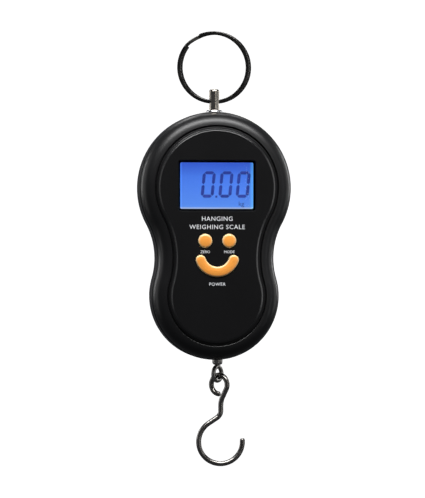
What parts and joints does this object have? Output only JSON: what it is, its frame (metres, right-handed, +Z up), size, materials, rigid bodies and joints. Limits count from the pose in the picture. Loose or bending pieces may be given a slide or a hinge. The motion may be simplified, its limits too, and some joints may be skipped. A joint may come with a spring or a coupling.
{
  "type": "hanging scale",
  "caption": "Pocket hanging scale with a figure-of-eight case, lit display, round and curved keys, split ring on top and a swivelling wire hook below.",
  "frame": {"origin": "top of the inside of the split ring, where the scale hangs", "axes": "+Z up along the line of pull, display facing -Y, +X to the right of the display"},
  "size_m": [0.0708, 0.028, 0.2026],
  "materials": {
    "ring_steel": "dark polished",
    "post_steel": "turned",
    "nut_zinc": "zinc plated",
    "collar_chrome": "polished",
    "case_black": "fine matte grain",
    "panel_black": "matte",
    "window_clear": "clear",
    "frame_white": "moulded",
    "display_blue": "lit blue",
    "digit_navy": "printed",
    "strip_rubber": "soft",
    "light_guide": "frosted",
    "lamp_white": "clear resin",
    "board_green": "lacquered",
    "epoxy_black": "cast",
    "chip_black": "moulded",
    "part_ceramic": "ceramic",
    "screw_zinc": "zinc plated",
    "switch_black": "moulded",
    "pin_cream": "moulded",
    "key_orange": "soft gloss",
    "cell_aluminium": "milled",
    "gauge_foil": "foil on film",
    "lead_sleeve": "soft sleeve",
    "tray_black": "moulded",
    "battery_sleeve": "printed sleeve",
    "spring_nickel": "nickel plated",
    "contact_nickel": "nickel plated",
    "screw_dark": "blackened",
    "eye_steel": "worn plating",
    "washer_brass": "turned",
    "hook_steel": "dark plating"
  },
  "bodies": {
    "ring": {"split_ring": "ring_steel"},
    "tare_key": {"tare_button": "key_orange", "tare_plunger": "pin_cream"},
    "unit_key": {"unit_button": "key_orange", "unit_plunger": "pin_cream"},
    "power_key": {"power_button": "key_orange", "power_plunger": "pin_cream"},
    "door": {"battery_door": "case_black"},
    "swivel": {"eye_stud": "eye_steel", "swivel_nut": "nut_zinc", "swivel_washer": "washer_brass"},
    "hook": {"hook": "hook_steel"},
    "case": {"hanger_post": "post_steel", "post_nut": "nut_zinc", "post_collar": "collar_chrome", "front_cover": "case_black", "rear_cover": "case_black", "face_panel": "panel_black", "display_window": "window_clear", "lcd_frame": "frame_white", "lcd_glass": "display_blue", "lcd_digits": "digit_navy", "zebra_strip": "strip_rubber", "backlight_panel": "light_guide", "backlight_leds": "lamp_white", "circuit_board": "board_green", "controller_blob": "epoxy_black", "converter_chip": "chip_black", "board_parts": "part_ceramic", "board_screws": "screw_zinc", "tact_switches": "switch_black", "load_cell": "cell_aluminium", "cell_screws": "screw_zinc", "strain_gauges": "gauge_foil", "cell_wires": "lead_sleeve", "battery_tray": "tray_black", "battery_1": "battery_sleeve", "battery_2": "battery_sleeve", "battery_springs": "spring_nickel", "link_contact": "contact_nickel", "terminal_contacts": "contact_nickel", "battery_wires": "lead_sleeve", "case_screws": "screw_dark"}
  },
  "joints": [
    {"name": "ring_swing", "type": "hinge", "parent": "ring", "child": "case", "pos_m": [0, 0, -0.03125], "axis": [1, 0, 0], "range_deg": [-95, 95]},
    {"name": "tare_press", "type": "slide", "parent": "case", "child": "tare_key", "axis": [0, 1, 0], "range_m": [0, 0.0004], "stiffness_N_per_m": 900, "springref_m": -0.0008},
    {"name": "unit_press", "type": "slide", "parent": "case", "child": "unit_key", "axis": [0, 1, 0], "range_m": [0, 0.0004], "stiffness_N_per_m": 900, "springref_m": -0.0008},
    {"name": "power_press", "type": "slide", "parent": "case", "child": "power_key", "axis": [0, 1, 0], "range_m": [0, 0.0004], "stiffness_N_per_m": 900, "springref_m": -0.0008},
    {"name": "door_open", "type": "hinge", "parent": "case", "child": "door", "pos_m": [0, 0.0127, -0.1442], "axis": [-1, 0, 0], "range_deg": [0, 80]},
    {"name": "eye_turn", "type": "hinge", "parent": "case", "child": "swivel", "pos_m": [0.0015, 0, -0.1578], "axis": [0, 0, 1], "continuous": true},
    {"name": "hook_swing", "type": "hinge", "parent": "swivel", "child": "hook", "pos_m": [0.0015, 0, -0.1611], "axis": [0.6428, 0.766, 0], "range_deg": [-55, 55]}
  ]
}
